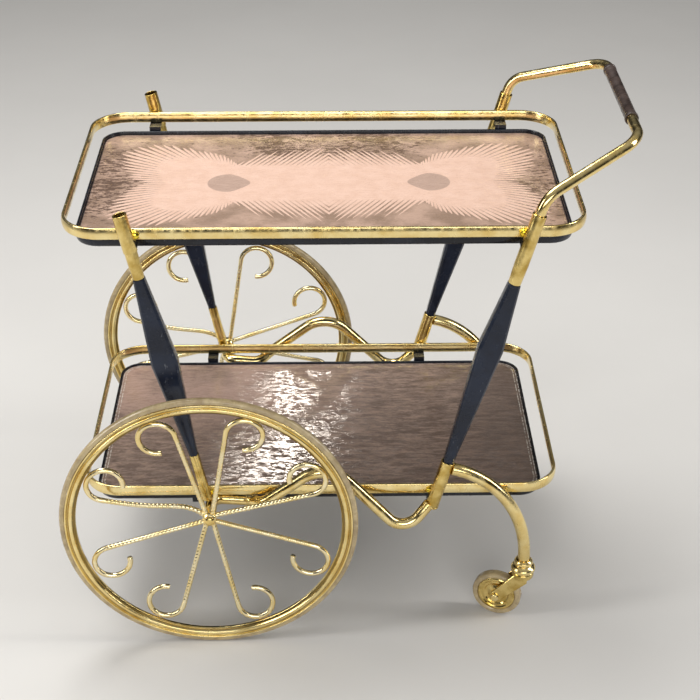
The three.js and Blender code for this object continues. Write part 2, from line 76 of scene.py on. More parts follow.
# A spindle's foot, widest section and head: (width, thickness, bevel), with the tenon's radius at each end.
WHEEL_SPINDLE = {"sections": ((0.011, 0.012, 0.0024), (0.035, 0.020, 0.0035), (0.0146, 0.015, 0.0028)),
                 "tenons": (0.0051, 0.0064)}
HANDLE_SPINDLE = {"sections": ((0.0136, 0.014, 0.0028), (0.033, 0.020, 0.0035), (0.0156, 0.016, 0.0028)),
                  "tenons": (0.0066, 0.0066)}
TENON_LENGTH = 0.014

S_BAR_RADIUS = 0.008
ARM_RADIUS = 0.0085
ARM_ROOT_Z = 0.259
BRAZE_SIZE = {"top": (0.0060, 0.0040, 0.0060), "bottom": (0.0042, 0.0034, 0.0042)}
HANDLE_RADIUS = 0.007
HANDLE_CORNER = {"y": 0.136, "bend_z": 0.657, "lower": 0.034, "upper": 0.042}
GRIP = {"x": 0.371, "z": 0.706}

HUB = {"y": 0.232, "radius": 0.0097, "length": 0.014}
AXLE_RADIUS = 0.0045
RIM_DEPTH = 0.015
WHEEL_TURN = {"left": 0, "right": 0.8}
# Each pair's axis and opening in degrees, and the partner that is bellied.
SPOKE_PAIRS = ((1, 16, 0), (92.2, 12, 0), (180.5, 14.7, -1), (268.4, 13.9, 0))
BELLY = 0.0093  # how far the bellied wire bows out near the hub
BELLY_STEPS = 40
SPOKE = {
    "radius": 0.0035, "root": 0.006, "offset": 0.0027, "reach": 0.1775, "dish": 4.4,
    "scroll": 0.0242, "turn": 268,
}
SCROLL_STEPS = 60
TWIST = {"pitch": 0.011, "lobe": 0.20, "proud": 1.06}  # proud is the twisted wire's radius over the spoke's
# The rings of painted shade in a rim's grooves: distance in from its outer edge, half width, and depth of
# colour.
RIM_GROOVE_SHADE = ((0.0041, 0.0011, 0.6), (0.0128, 0.0020, 0.85))

CASTER = {"x": 0.2525, "y": 0.204, "trail": 0.035, "heading": 160, "radius": 0.035}


# ---- Points, paths and shells ----
def corner_arc(before, corner, after, radius, step):
    """The points of an arc of that radius that replaces a corner. It works in two and in three dimensions."""
    back = (before - corner).normalized()
    on = (after - corner).normalized()
    inside = math.acos(max(-1, min(1, back.dot(on))))
    turn = math.pi - inside
    if turn < 0.01 or radius <= 0:
        return [corner.copy()]
    longest = 0.499 * min((before - corner).length, (after - corner).length)
    reach = min(radius / math.tan(inside / 2), longest)
    radius = reach * math.tan(inside / 2)
    centre = corner + (back + on).normalized() * (radius / math.sin(inside / 2))
    first = corner + back * reach - centre
    last = corner + on * reach - centre
    steps = max(2, round(math.degrees(turn) / step))
    points = []
    for k in range(steps + 1):
        share = k / steps
        swept = first * math.sin((1 - share) * turn) + last * math.sin(share * turn)
        points.append(centre + swept / math.sin(turn))
    return points


def eased(corners, radius, closed=True, step=15):
    """An outline or path whose corners are arcs. radius is one number, or a list with one for each
    inner corner."""
    corners = [Vector(c) for c in corners]
    count = len(corners)
    points = []
    for i, corner in enumerate(corners):
        if not closed and i in (0, count - 1):
            points.append(corner)
            continue
        size = radius if isinstance(radius, (int, float)) else radius[i if closed else i - 1]
        points += corner_arc(corners[i - 1], corner, corners[(i + 1) % count], size, step)
    return points


def resampled(path, step):
    """The same path with points a step apart."""
    lengths = [(b - a).length for a, b in zip(path, path[1:])]
    count = max(2, round(sum(lengths) / step))
    spacing = sum(lengths) / count
    points, travelled, i = [path[0]], 0.0, 0
    for k in range(1, count):
        while travelled + lengths[i] < k * spacing:
            travelled += lengths[i]
            i += 1
        points.append(path[i].lerp(path[i + 1], (k * spacing - travelled) / lengths[i]))
    return points + [path[-1]]


def shell(rings, closed=False):
    """(points, faces) of a skin over rings of equal size: a ring shape if closed, else a solid with
    flat ends."""
    size = len(rings[0])
    points = [point for ring in rings for point in ring]
    faces = []
    for i in range(len(rings) if closed else len(rings) - 1):
        here, there = i * size, (i + 1) % len(rings) * size
        for k in range(size):
            after = (k + 1) % size
            faces.append((here + k, here + after, there + after, there + k))
    if not closed:
        faces.append(tuple(range(size - 1, -1, -1)))
        faces.append(tuple(range(len(points) - size, len(points))))
    return points, faces


def placed(part, matrix):
    points, faces = part
    return [matrix @ point for point in points], faces


def mirrored(half):
    """A whole profile from its upper half, whose mirrored lower half comes first."""
    return [(radius, -height) for radius, height in reversed(half)] + half


def turned(profile, origin, axis, sides, closed=False):
    """A solid of revolution. The profile is a list of (radius, height along the axis)."""
    axis = axis.normalized()
    across = axis.orthogonal().normalized()
    other = axis.cross(across)
    angles = [2 * math.pi * k / sides for k in range(sides)]
    spokes = [across * math.cos(a) + other * math.sin(a) for a in angles]
    rings = [[origin + axis * height + spoke * radius for spoke in spokes] for radius, height in profile]
    return shell(rings, closed)


def path_frames(path):
    """(point, along, side, other side) at each point of a path, with no twist between them."""
    frames = []
    side = None
    for i, point in enumerate(path):
        along = (path[min(i + 1, len(path) - 1)] - path[max(i - 1, 0)]).normalized()
        side = along.orthogonal() if side is None else side - along * side.dot(along)
        side.normalize()
        frames.append((point, along, side, along.cross(side)))
    return frames


def tube(path, radius, sides, edge=0.0012, twist=None, lobe=0.0, plain=0.0):
    """A bar along a path, with eased ends. With twist, the length of one turn, its two lobes wind round it,
    except along the last stretch, of length plain."""
    frames = path_frames(path)
    twisted = sum((b - a).length for a, b in zip(path, path[1:])) - plain
    stations = []  # (frame, shift along the path, radius)
    quarter = [math.radians(a) for a in (90, 60, 30, 0)]
    for a in quarter:
        stations.append((frames[0], edge * (1 - math.sin(a)), radius - edge * (1 - math.cos(a))))
    stations += [(f, 0, radius) for f in frames[1:-1]]
    for a in reversed(quarter):
        stations.append((frames[-1], -edge * (1 - math.sin(a)), radius - edge * (1 - math.cos(a))))
    rings = []
    travelled = 0.0
    last = None
    for (point, along, side, other), shift, size in stations:
        centre = point + along * shift
        travelled += (centre - last).length if last else 0.0
        last = centre
        ring = []
        for k in range(sides):
            angle = 2 * math.pi * k / sides
            swell = 1.0
            if twist:
                fade = min(1.0, max(0.0, (twisted - travelled) / twist))
                wound = angle - 2 * math.pi * travelled / twist
                swell = 1 - fade * lobe * (0.5 - 0.5 * math.cos(2 * wound))
            ring.append(centre + (side * math.cos(angle) + other * math.sin(angle)) * size * swell)
        rings.append(ring)
    return shell(rings)


def rounded_rectangle(half_x, half_y, radius, corner_steps=14, side_steps=12):
    """(point, outward) round a rounded rectangle about the origin, anticlockwise."""
    stops = []
    x, y = half_x - radius, half_y - radius
    corners = ((x, y), (-x, y), (-x, -y), (x, -y))
    for quarter, (cx, cy) in enumerate(corners):
        for k in range(corner_steps + 1):
            angle = math.pi / 2 * (quarter + k / corner_steps)
            outward = Vector((math.cos(angle), math.sin(angle), 0))
            stops.append((Vector((cx, cy, 0)) + outward * radius, outward))
        start, outward = stops[-1]
        end = Vector((*corners[(quarter + 1) % 4], 0)) + outward * radius
        for k in range(1, side_steps):
            stops.append((start.lerp(end, k / side_steps), outward))
    return stops


def rim_shell(profile, centre, half_x, half_y, radius):
    """A skin round a rounded rectangle. The profile is a list of (inset, height)."""
    rings = []
    for inset, height in profile:
        stops = rounded_rectangle(half_x - inset, half_y - inset, radius - inset)
        rings.append([centre + point + UP * height for point, _ in stops])
    return shell(rings)


def plate(outline, thickness, bevel):
    """A flat plate in X and Y from z = 0 up, with bevelled edges. The outline is anticlockwise points."""
    count = len(outline)
    inner = []
    for i, point in enumerate(outline):
        along = (outline[(i + 1) % count] - outline[i - 1]).normalized()
        inner.append(point + Vector((-along.y, along.x)) * bevel)
    levels = ((inner, 0), (outline, bevel), (outline, thickness - bevel), (inner, thickness))
    return shell([[Vector((p.x, p.y, z)) for p in ring] for ring, z in levels])


# ---- Materials ----
class Field:
    """A number that varies over a surface, with arithmetic that adds nodes."""

    def __init__(self, nodes, socket):
        self.nodes = nodes
        self.socket = socket

    def __add__(self, other):
        return self.nodes.math("ADD", self, other)

    def __sub__(self, other):
        return self.nodes.math("SUBTRACT", self, other)

    def __mul__(self, other):
        return self.nodes.math("MULTIPLY", self, other)

    def __truediv__(self, other):
        return self.nodes.math("DIVIDE", self, other)

    def from_(self, start):
        return self.nodes.math("SUBTRACT", start, self)

    def apply(self, operation, other=0.0):
        return self.nodes.math(operation, self, other)


class Nodes:
    """One material's node tree, built with short calls. Its textures are procedural, in metres."""

    def __init__(self, name):
        self.material = bpy.data.materials.new(name)
        self.material.use_nodes = True
        self.tree = self.material.node_tree
        self.tree.nodes.clear()
        output = self.add("ShaderNodeOutputMaterial")
        self.shader = self.add("ShaderNodeBsdfPrincipled")
        self.feed(output.inputs["Surface"], self.shader.outputs["BSDF"])
        self.place = self.add("ShaderNodeTexCoord").outputs["Object"]

    def add(self, kind, **settings):
        node = self.tree.nodes.new(kind)
        for key, value in settings.items():
            setattr(node, key, value)
        return node

    def feed(self, entry, value):
        value = value.socket if isinstance(value, Field) else value
        if isinstance(value, bpy.types.NodeSocket):
            self.tree.links.new(value, entry)
        elif isinstance(value, (tuple, list)) and len(entry.default_value) == 4:
            entry.default_value = (*value, 1) if len(value) == 3 else value
        else:
            entry.default_value = value

    def math(self, operation, first, second):
        node = self.add("ShaderNodeMath", operation=operation)
        self.feed(node.inputs[0], first)
        self.feed(node.inputs[1], second)
        return Field(self, node.outputs[0])

    def axes(self):
        node = self.add("ShaderNodeSeparateXYZ")
        self.feed(node.inputs[0], self.place)
        return [Field(self, output) for output in node.outputs]

    def noise(self, scale, detail, stretch=(1, 1, 1), rough=0.55, shift=0.0):
        """Noise from 0 to 1. Scale is in cycles for each metre, and stretch multiplies it along each axis."""
        mapping = self.add("ShaderNodeMapping")
        self.feed(mapping.inputs["Vector"], self.place)
        mapping.inputs["Location"].default_value = (shift, shift, shift)
        mapping.inputs["Scale"].default_value = stretch
        node = self.add("ShaderNodeTexNoise")
        self.feed(node.inputs["Vector"], mapping.outputs[0])
        node.inputs["Scale"].default_value = scale
        node.inputs["Detail"].default_value = detail
        node.inputs["Roughness"].default_value = rough
        return Field(self, node.outputs[0])

    def random(self, value):
        node = self.add("ShaderNodeTexWhiteNoise", noise_dimensions="1D")
        self.feed(node.inputs["W"], value)
        return Field(self, node.outputs["Value"])

    def span(self, value, low, high, to_low=0.0, to_high=1.0):
        """The value mapped smoothly from low..high to to_low..to_high, and held there past the ends."""
        node = self.add("ShaderNodeMapRange", interpolation_type="SMOOTHSTEP", clamp=True)
        for entry, number in zip(node.inputs, (value, low, high, to_low, to_high)):
            self.feed(entry, number)
        return Field(self, node.outputs[0])

    def curve(self, value, stops):
        """A number that follows (position, height) stops, both from 0 to 1."""
        node = self.add("ShaderNodeValToRGB")
        ramp = node.color_ramp
        while len(ramp.elements) < len(stops):
            ramp.elements.new(0.5)
        for element, (position, height) in zip(ramp.elements, stops):
            element.position = position
            element.color = (height, height, height, 1)
        self.feed(node.inputs[0], value)
        return Field(self, node.outputs[0])

    def mix(self, share, first, second):
        node = self.add("ShaderNodeMix", data_type="RGBA")
        self.feed(node.inputs[0], share)
        self.feed(node.inputs[6], first)
        self.feed(node.inputs[7], second)
        return node.outputs[2]

    def bump(self, height, depth, strength=1.0, over=None):
        """A bump of that depth in metres. over is the bump that it lies on."""
        node = self.add("ShaderNodeBump")
        self.feed(node.inputs["Height"], height)
        node.inputs["Distance"].default_value = depth
        node.inputs["Strength"].default_value = strength
        if over is not None:
            self.feed(node.inputs["Normal"], over)
        return node.outputs[0]

    def finish(self, **values):
        """Sets the shader's inputs. An input's name is written with _ for a space."""
        for key, value in values.items():
            self.feed(self.shader.inputs[key.replace("_", " ")], value)
        return self.material


def colour(red, green, blue):
    """A linear colour from 8-bit display values."""
    linear = []
    for value in (red, green, blue):
        share = value / 255
        linear.append(share / 12.92 if share <= 0.04045 else ((share + 0.055) / 1.055) ** 2.4)
    return tuple(linear)


def box_centre(node):
    low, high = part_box(node)
    return (low + high) / 2


def half_size(node):
    """Half of a CAD node's size along X, Y and Z."""
    low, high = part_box(node)
    return [(b - a) / 2 for a, b in zip(low, high)]


def wheel_centre(side):
    return box_centre(side + "_wheel_tyre")


def brass_material(name, bright=(247, 227, 166), deep=(229, 199, 124), tarnish=0.45, wavy=0.18, shaded_grooves=()):
    """Polished brass that has aged: cloudy patches, small dark spots, and a slightly wavy surface.
    Its last argument lists rings round a wheel's axle, at the rim's grooves, that get painted shade."""
    n = Nodes(name)
    clouds = n.span(n.noise(38, 4), 0.35, 0.7)
    spots = n.span(n.noise(330, 5, rough=0.7), 0.60, 0.72)
    patches = n.span(n.noise(21, 3, shift=4.0), 0.48, 0.66)
    stain = spots * patches * tarnish
    base = n.mix(clouds, colour(*bright), colour(*deep))
    base = n.mix(stain, base, colour(100, 78, 24))
    if shaded_grooves:
        centre = wheel_centre("left")
        _, _, rim_radius = half_size("left_wheel_rim")
        x, _, z = n.axes()
        from_axle = ((x - centre.x) * (x - centre.x) + (z - centre.z) * (z - centre.z)).apply("SQRT")
        # Painted shade: each groove's ring is darkened towards a dark olive brown.
        for inset, half, depth in shaded_grooves:
            from_groove = (from_axle - (rim_radius - inset)).apply("ABSOLUTE")
            darkening = n.span(from_groove, half * 0.6, half, depth, 0.0)
            base = n.mix(darkening, base, colour(112, 86, 30))
    wipe = n.noise(140, 3, stretch=(1, 1, 0.15))
    roughness = n.span(wipe, 0.3, 0.75, 0.13, 0.30) + stain * 0.35
    waves = n.bump(n.noise(55, 2), 0.0011, wavy)
    pits = n.bump(n.noise(700, 3), 0.00010, 0.5, over=waves)
    return n.finish(Base_Color=base, Metallic=1.0, Roughness=roughness, Normal=pits)


def lacquer_material(name, dark, light, scuff):
    """Black lacquer with faint clouds in its colour, brush waves along its length, and duller places."""
    n = Nodes(name)
    clouds = n.span(n.noise(26, 4), 0.35, 0.7)
    scratches = n.span(n.noise(420, 3, stretch=(1, 1, 0.22)), 0.64, 0.72) * n.span(n.noise(34, 2), 0.45, 0.65)
    base = n.mix(clouds, colour(*dark), colour(*light))
    base = n.mix(scratches * scuff, base, colour(112, 116, 124))
    roughness = n.span(n.noise(60, 4, shift=2.0), 0.3, 0.75, 0.14, 0.34) + scratches * 0.25
    waves = n.bump(n.noise(42, 3, stretch=(0.4, 1, 1)), 0.0010, 0.6)
    peel = n.bump(n.noise(520, 2), 0.00012, 0.4, over=waves)
    return n.finish(
        Base_Color=base, Roughness=roughness, Normal=peel, Specular_IOR_Level=0.32,
        Coat_Weight=0.12, Coat_Roughness=0.08,
    )


BURST = {"middle": -0.016, "centre": 0.135, "rays": 17.2, "band": 0.053, "fringe": 128.0, "lean": 0.62}
# How far the rays reach, in shares of 0.2 m, by their angle from the outward axis, in half turns.
BURST_REACH = (
    (0, 0.60), (0.205, 0.96), (0.289, 0.84), (0.367, 0.62), (0.455, 0.48), (0.545, 0.31), (1, 0.28),
)
# How far the middle fringe reaches across the tray, in shares of 0.2 m, by the distance from the middle.
FRINGE_REACH = ((0, 0.60), (0.30, 0.57), (0.48, 0.50), (0.62, 0.34), (1, 0.28))


def ray_mask(n, phase, out, tip, gap, widening, uneven=0.16):
    """Rays side by side: 1 on a ray, and 0 in the gaps, which widen outwards to the rays' rounded tips.
    phase counts rays, out is the distance from where the solid field ends, and uneven is how much the
    rays' lengths vary."""
    number = phase.apply("FLOOR")
    share = out / (tip * (n.random(number) * uneven + 1.06 - uneven))
    across = ((phase - number) - 0.5).apply("ABSOLUTE") * 2.0
    taper = (share.apply("MAXIMUM", 0.0).apply("POWER", 6.0)).from_(1.0)
    width = taper * (share * widening).from_(1.0 - gap)
    on_ray = n.span(across - width, 0.07, -0.07)
    solid = n.span(out, 0.0, 0.008, 1.0, 0.0)
    return on_ray.apply("MAXIMUM", solid) * n.span(share, 1.0, 0.985)


def burst_mask(n, x, y):
    """A mirrored pair of feathered fans of rays joined by a fringed band, in cream on the panel's ground."""
    from_middle = (x - BURST["middle"]).apply("ABSOLUTE")
    off_axis = y.apply("ABSOLUTE")
    outward = from_middle - BURST["centre"]
    radius = (outward * outward + y * y).apply("SQRT")
    angle = off_axis.apply("ARCTAN2", outward)
    reach = n.curve(angle / math.pi, BURST_REACH) * 0.2
    solid = reach * 0.52 + 0.018
    phase = angle * BURST["rays"] + (radius - solid) * 3.0 + 0.5
    fan = ray_mask(n, phase, radius - solid, reach - solid, 0.10, 0.26)

    fringe_reach = n.curve(from_middle / 0.2, FRINGE_REACH) * 0.2
    out = off_axis - BURST["band"]
    leaning = (from_middle + out * BURST["lean"]) * BURST["fringe"]
    fringe = ray_mask(n, leaning, out, fringe_reach - BURST["band"], 0.14, 0.50, 0.34)
    blurred = n.span(from_middle, 0.0, 0.06, 0.75, 0.0) * n.span(out, 0.010, 0.026, 1.0, 0.0)
    fringe = fringe.apply("MAXIMUM", blurred)
    fringe = fringe * n.span(from_middle, BURST["centre"], BURST["centre"] + 0.004, 1.0, 0.0)
    return fan.apply("MAXIMUM", fringe), outward, off_axis


def burst_panel_material():
    """The upper tray's panel: a cream double burst on a mottled taupe ground, under clear varnish."""
    n = Nodes("burst_panel")
    x, y, _ = n.axes()
    mask, outward, off_axis = burst_mask(n, x, y)

    eye_taper = n.span(outward, -0.031, 0.002, 0.58, 1.0)
    eye = (outward / 0.0290).apply("POWER", 2.0) + (off_axis / 0.0285 / eye_taper).apply("POWER", 2.0)
    eye_mask = n.span(eye, 0.94, 1.04, 1.0, 0.0)

    patches = n.span(n.noise(24, 5), 0.36, 0.66)
    ground = n.mix(patches, colour(158, 131, 112), colour(198, 166, 146))
    streaks = n.noise(175, 7, stretch=(0.42, 1, 1), rough=0.80)
    back = n.span(y, 0.03, 0.11) * n.span((x + 0.02).apply("ABSOLUTE"), 0.06, 0.20, 1.0, 0.15)
    ends = n.span(x, -0.15, -0.23).apply("MAXIMUM", n.span(x, 0.15, 0.21) * 0.8)
    ends = ends * n.span(off_axis, 0.05, 0.16, 1.0, 0.35)
    worn = back.apply("MAXIMUM", ends) * n.span(n.noise(17, 3, shift=6.0), 0.25, 0.6, 0.55, 1.0)
    level = (worn * 0.17).from_(0.64)
    speckle = n.span(streaks - level, -0.01, 0.02)
    ground = n.mix(speckle * 0.9, ground, colour(96, 72, 58))

    cream_tone = n.span(n.noise(60, 4, shift=3.0), 0.3, 0.7)
    cream = n.mix(cream_tone, colour(232, 194, 172), colour(240, 203, 182))
    fleck = n.span(n.noise(420, 5, stretch=(0.30, 1, 1), rough=0.7, shift=9.0), 0.655, 0.70)
    scarcer = n.span(x, -0.16, -0.02, 0.9, 0.12)
    eye_tone = n.mix(n.noise(150, 4, stretch=(0.4, 1, 1)), colour(178, 148, 132), colour(206, 176, 158))
    base = n.mix(mask * (fleck * scarcer * 0.8).from_(1.0), ground, cream)
    base = n.mix(eye_mask, base, eye_tone)
    # Painted shade: a dark band along the panel's edge, beside the pan's rim.
    edge = edge_distance(x, y, "top_tray_panel")
    base = n.mix(n.span(edge, 0.0010, 0.0019, 0.85, 0.0), base, colour(70, 62, 60))

    roughness = n.span(streaks, 0.35, 0.7, 0.24, 0.38)
    relief = n.bump(mask - speckle * 0.5, 0.0002, 0.4)
    return n.finish(
        Base_Color=base, Roughness=roughness, Normal=relief, Coat_Weight=0.25, Coat_Roughness=0.12,
    )


def edge_distance(x, y, node):
    """The distance inwards from the rounded edge of a tray panel."""
    centre = box_centre(node)
    half_x, half_y, _ = half_size(node)
    beyond_x = (x - centre.x).apply("ABSOLUTE") - (half_x - PANEL_CORNER)
    beyond_y = (y - centre.y).apply("ABSOLUTE") - (half_y - PANEL_CORNER)
    at_x = beyond_x.apply("MAXIMUM", 0.0)
    at_y = beyond_y.apply("MAXIMUM", 0.0)
    in_corner = (at_x * at_x + at_y * at_y).apply("SQRT")
    inside = beyond_x.apply("MAXIMUM", beyond_y).apply("MINIMUM", 0.0)
    return (in_corner + inside).from_(PANEL_CORNER)


def mottled_panel_material():
    """The lower tray's panel: smoked, streaky and half mirrored, with painted highlights in broken pale lines
    near its edge.
    """
    n = Nodes("mottled_panel")
    x, y, _ = n.axes()
    streaks = n.noise(300, 5, stretch=(0.14, 1, 1), rough=0.65)
    grain = n.noise(480, 4, stretch=(0.30, 1, 1), rough=0.75, shift=5.0)
    wide = n.noise(11, 3, shift=1.0)
    base = n.mix(n.span(streaks, 0.34, 0.66), colour(112, 95, 85), colour(146, 124, 110))
    base = n.mix(n.span(grain, 0.50, 0.66) * 0.55, base, colour(84, 68, 58))
    blots = n.noise(85, 6, stretch=(0.30, 1, 1), rough=0.75, shift=11.0)
    base = n.mix(n.span(blots, 0.50, 0.58) * 0.60, base, colour(88, 72, 63))
    base = n.mix(n.span(blots, 0.46, 0.40) * 0.35, base, colour(168, 143, 128))
    pink = n.span(x, 0.06, -0.18) * n.span(y, -0.10, 0.12)
    base = n.mix(pink * n.span(wide, 0.3, 0.6, 0.25, 0.75), base, colour(178, 148, 134))
    # Painted shade: the panel darkens towards its handle end.
    dim = n.span(x + wide * 0.1, 0.16, 0.30)
    base = n.mix(dim * 0.6, base, colour(98, 85, 77))

    edge = edge_distance(x, y, "bottom_tray_panel")
    # Painted highlights: two broken pale lines near the edge, strongest at the panel's ends.
    highlight_breakup = n.noise(420, 2, shift=7.0)
    line = n.span((edge - 0.0014).apply("ABSOLUTE"), 0.0005, 0.0010, 1.0, 0.0)
    second = n.span((edge - 0.0052).apply("ABSOLUTE"), 0.0004, 0.0009, 1.0, 0.0)
    at_ends = n.span((x + 0.032).apply("ABSOLUTE"), 0.26, 0.29)
    pale = (line + second) * n.span(highlight_breakup, 0.46, 0.52) * (at_ends * 0.75 + 0.15)
    base = n.mix(pale.apply("MINIMUM", 1.0), base, colour(214, 208, 198))
    # Painted shade: a dark band at the very edge of the panel, beside the pan's wall.
    base = n.mix(n.span(edge, 0.0003, 0.0009, 0.9, 0.0), base, colour(40, 34, 32))

    flakes = n.noise(250, 7, stretch=(0.36, 1, 1), rough=0.74, shift=2.0)
    bare = n.span(flakes, 0.495, 0.525)
    roughness = n.span(bare, 0.0, 1.0, 0.55, 0.10)
    gloss = n.span(bare, 0.0, 1.0, 0.10, 1.0)
    swell = n.bump(n.noise(30, 3, stretch=(0.6, 1, 1), shift=8.0), 0.0005, 1.0)
    relief = n.bump(flakes, 0.00010, 1.0, over=swell)
    return n.finish(Base_Color=base, Roughness=roughness, Normal=relief, Specular_IOR_Level=gloss)


def tyre_material():
    """Yellowed pale rubber, smooth and slightly glossy, with dust in its grain."""
    n = Nodes("tyre_rubber")
    base = n.mix(n.span(n.noise(70, 5), 0.3, 0.7), colour(158, 138, 102), colour(192, 172, 130))
    darkening = n.span(n.noise(300, 5, rough=0.7), 0.60, 0.75)
    base = n.mix(darkening * 0.6, base, colour(132, 114, 82))
    relief = n.bump(n.noise(900, 3), 0.00012, 0.3)
    roughness = n.span(n.noise(110, 3), 0.3, 0.7, 0.18, 0.30)
    return n.finish(Base_Color=base, Roughness=roughness, Normal=relief, Coat_Weight=0.6, Coat_Roughness=0.08)


def grip_material():
    """A dark brown plastic sleeve, worn glossy where hands hold it, with fine lines along it."""
    n = Nodes("grip_sleeve")
    base = n.mix(n.span(n.noise(60, 4), 0.3, 0.7), colour(52, 42, 38), colour(84, 70, 64))
    lines = n.noise(900, 2, stretch=(1, 0.04, 1))
    roughness = n.span(n.noise(90, 3), 0.3, 0.7, 0.22, 0.42)
    relief = n.bump(lines, 0.00018, 0.6)
    return n.finish(Base_Color=base, Roughness=roughness, Normal=relief, Coat_Weight=0.3, Coat_Roughness=0.15)


BRASS = brass_material("brass")
# A darker copy of the brass for the legs' tubes and the casters: more tarnish, and darker colours that are
# painted shade.
WORN_AND_SHADED_BRASS = brass_material("brass_worn_and_shaded", bright=(235, 210, 138), deep=(184, 152, 72), tarnish=0.95, wavy=0.6)
WIRE_BRASS = brass_material("brass_wire", bright=(252, 238, 196), deep=(240, 216, 150), tarnish=0.3, wavy=0.1)
RIM_BRASS = brass_material("brass_rim", shaded_grooves=RIM_GROOVE_SHADE)
BRAZE = brass_material("brass_braze", bright=(248, 222, 84), deep=(236, 196, 44), tarnish=0.2, wavy=0.6)
PAN_LACQUER = lacquer_material("black_lacquer", (15, 17, 24), (28, 32, 43), 0.5)
SPINDLE_LACQUER = lacquer_material("black_lacquer_spindle", (16, 23, 38), (27, 36, 54), 0.8)
BURST_PANEL = burst_panel_material()
MOTTLED_PANEL = mottled_panel_material()
TYRE = tyre_material()
GRIP_SLEEVE = grip_material()


def new_object(name, data):
    made = bpy.data.objects.new(name, data)
    bpy.context.scene.collection.objects.link(made)
    return made


def piece(name, parts, material, body="frame", nodes=(), sharp=38):
    """One visible piece, made of closed shells, that rides on a body and stands for CAD nodes."""
    mesh = bpy.data.meshes.new(name)
    build = bmesh.new()
    for points, faces in parts:
        corners = [build.verts.new(point) for point in points]
        for face in faces:
            build.faces.new([corners[i] for i in face])
    bmesh.ops.recalc_face_normals(build, faces=build.faces)
    build.to_mesh(mesh)
    build.free()
    mesh.polygons.foreach_set("use_smooth", [True] * len(mesh.polygons))
    mesh.set_sharp_from_angle(angle=math.radians(sharp))
    mesh.materials.append(material)
    made = new_object(name, mesh)
    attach(made, body)
    if nodes:
        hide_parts(*nodes)


def refinish(node, material):
    """A CAD node whose shape is right keeps it and gets a better material."""
    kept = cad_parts[node]
    kept.data.materials.clear()
    kept.data.materials.append(material)


# ---- Trays and rails ----
def make_rail(tier):
    """A flat bar with rounded faces, bent into a rounded rectangle."""
    node = tier + "_rail"
    centre = box_centre(node)
    half_x, half_y, half_height = half_size(node)
    half_thick = RAIL_THICKNESS / 2
    crown = 0.0017
    shoulder = half_thick - crown
    corners = [(-shoulder, -half_height), (shoulder, -half_height), (half_thick, 0), (shoulder, half_height),
               (-shoulder, half_height), (-half_thick, 0)]
    section = eased(corners, [0.0015, 0.0015, 0.03] * 2, step=6)
    stops = rounded_rectangle(half_x - half_thick, half_y - half_thick, RAIL_CORNER - half_thick, 24, 40)
    rings = []
    for point, outward in stops:
        rings.append([centre + point + outward * u + UP * v for u, v in section])
    piece(node + "_bar", [shell(rings, closed=True)], BRASS, nodes=[node])


def make_pan(tier):
    """A shallow tray with a full, rolled lip. Its well holds the panel."""
    node = tier + "_tray_pan"
    low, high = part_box(node)
    panel_low, panel_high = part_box(tier + "_tray_panel")
    centre = Vector(((low.x + high.x) / 2, 0, 0))
    half_x, half_y, _ = half_size(node)
    floor = panel_low.z - PANEL_GAP
    corners = [(0.020, low.z), (0.0015, low.z), (0.0, low.z + 0.007), (0.0004, high.z), (PAN_RIM, high.z),
               (PAN_RIM, floor), (0.016, floor)]
    outline = eased(corners, [0.004, 0.01, 0.0016, 0.0016, 0.0004], closed=False, step=15)
    tray = rim_shell(outline, centre, half_x, half_y, PAN_CORNER)
    piece(node + "_shell", [tray], PAN_LACQUER, nodes=[node])

    panel_x = half_x - PAN_RIM - PANEL_GAP
    panel_y = half_y - PAN_RIM - PANEL_GAP
    edge = 0.0005
    panel_corners = [(0.01, panel_low.z), (0, panel_low.z), (0, panel_high.z), (0.01, panel_high.z)]
    profile = eased(panel_corners, edge, closed=False, step=30)
    skin = rim_shell(profile, centre, panel_x, panel_y, PANEL_CORNER)
    material = BURST_PANEL if tier == "top" else MOTTLED_PANEL
    piece(tier + "_tray_panel_sheet", [skin], material, nodes=[tier + "_tray_panel"])
    for end in ("wheel_end", "handle_end"):
        refinish(f"{tier}_bearer_{end}", PAN_LACQUER)


# ---- Legs ----
def leg_point(leg, z, s):
    (foot_x, foot_z), (top_x, top_z) = leg["foot"], leg["top"]
    return Vector((foot_x + (z - foot_z) * (top_x - foot_x) / (top_z - foot_z), s * LEG_Y, z))


def leg_axis(leg):
    return (leg_point(leg, leg["top"][1], 1) - leg_point(leg, leg["foot"][1], 1)).normalized()


def leg_tube(leg, from_z, to_z, s, size):
    """A leg's tube. Its lower end tapers to the mouth's radius, if it has one."""
    length = (leg_point(leg, to_z, s) - leg_point(leg, from_z, s)).length
    inner, outer = size["inner"], size["outer"]
    corners = [(inner, 0), (size.get("mouth", outer), 0), (outer, length), (inner, length)]
    radii = [0.0004, 0.0006, 0.0007, 0.0004]
    if "mouth" in size:
        corners.insert(2, (outer, size["taper"]))
        radii.insert(2, 0.02)
    profile = eased(corners, radii, step=10)
    return turned(profile, leg_point(leg, from_z, s), leg_axis(leg), 40, closed=True)


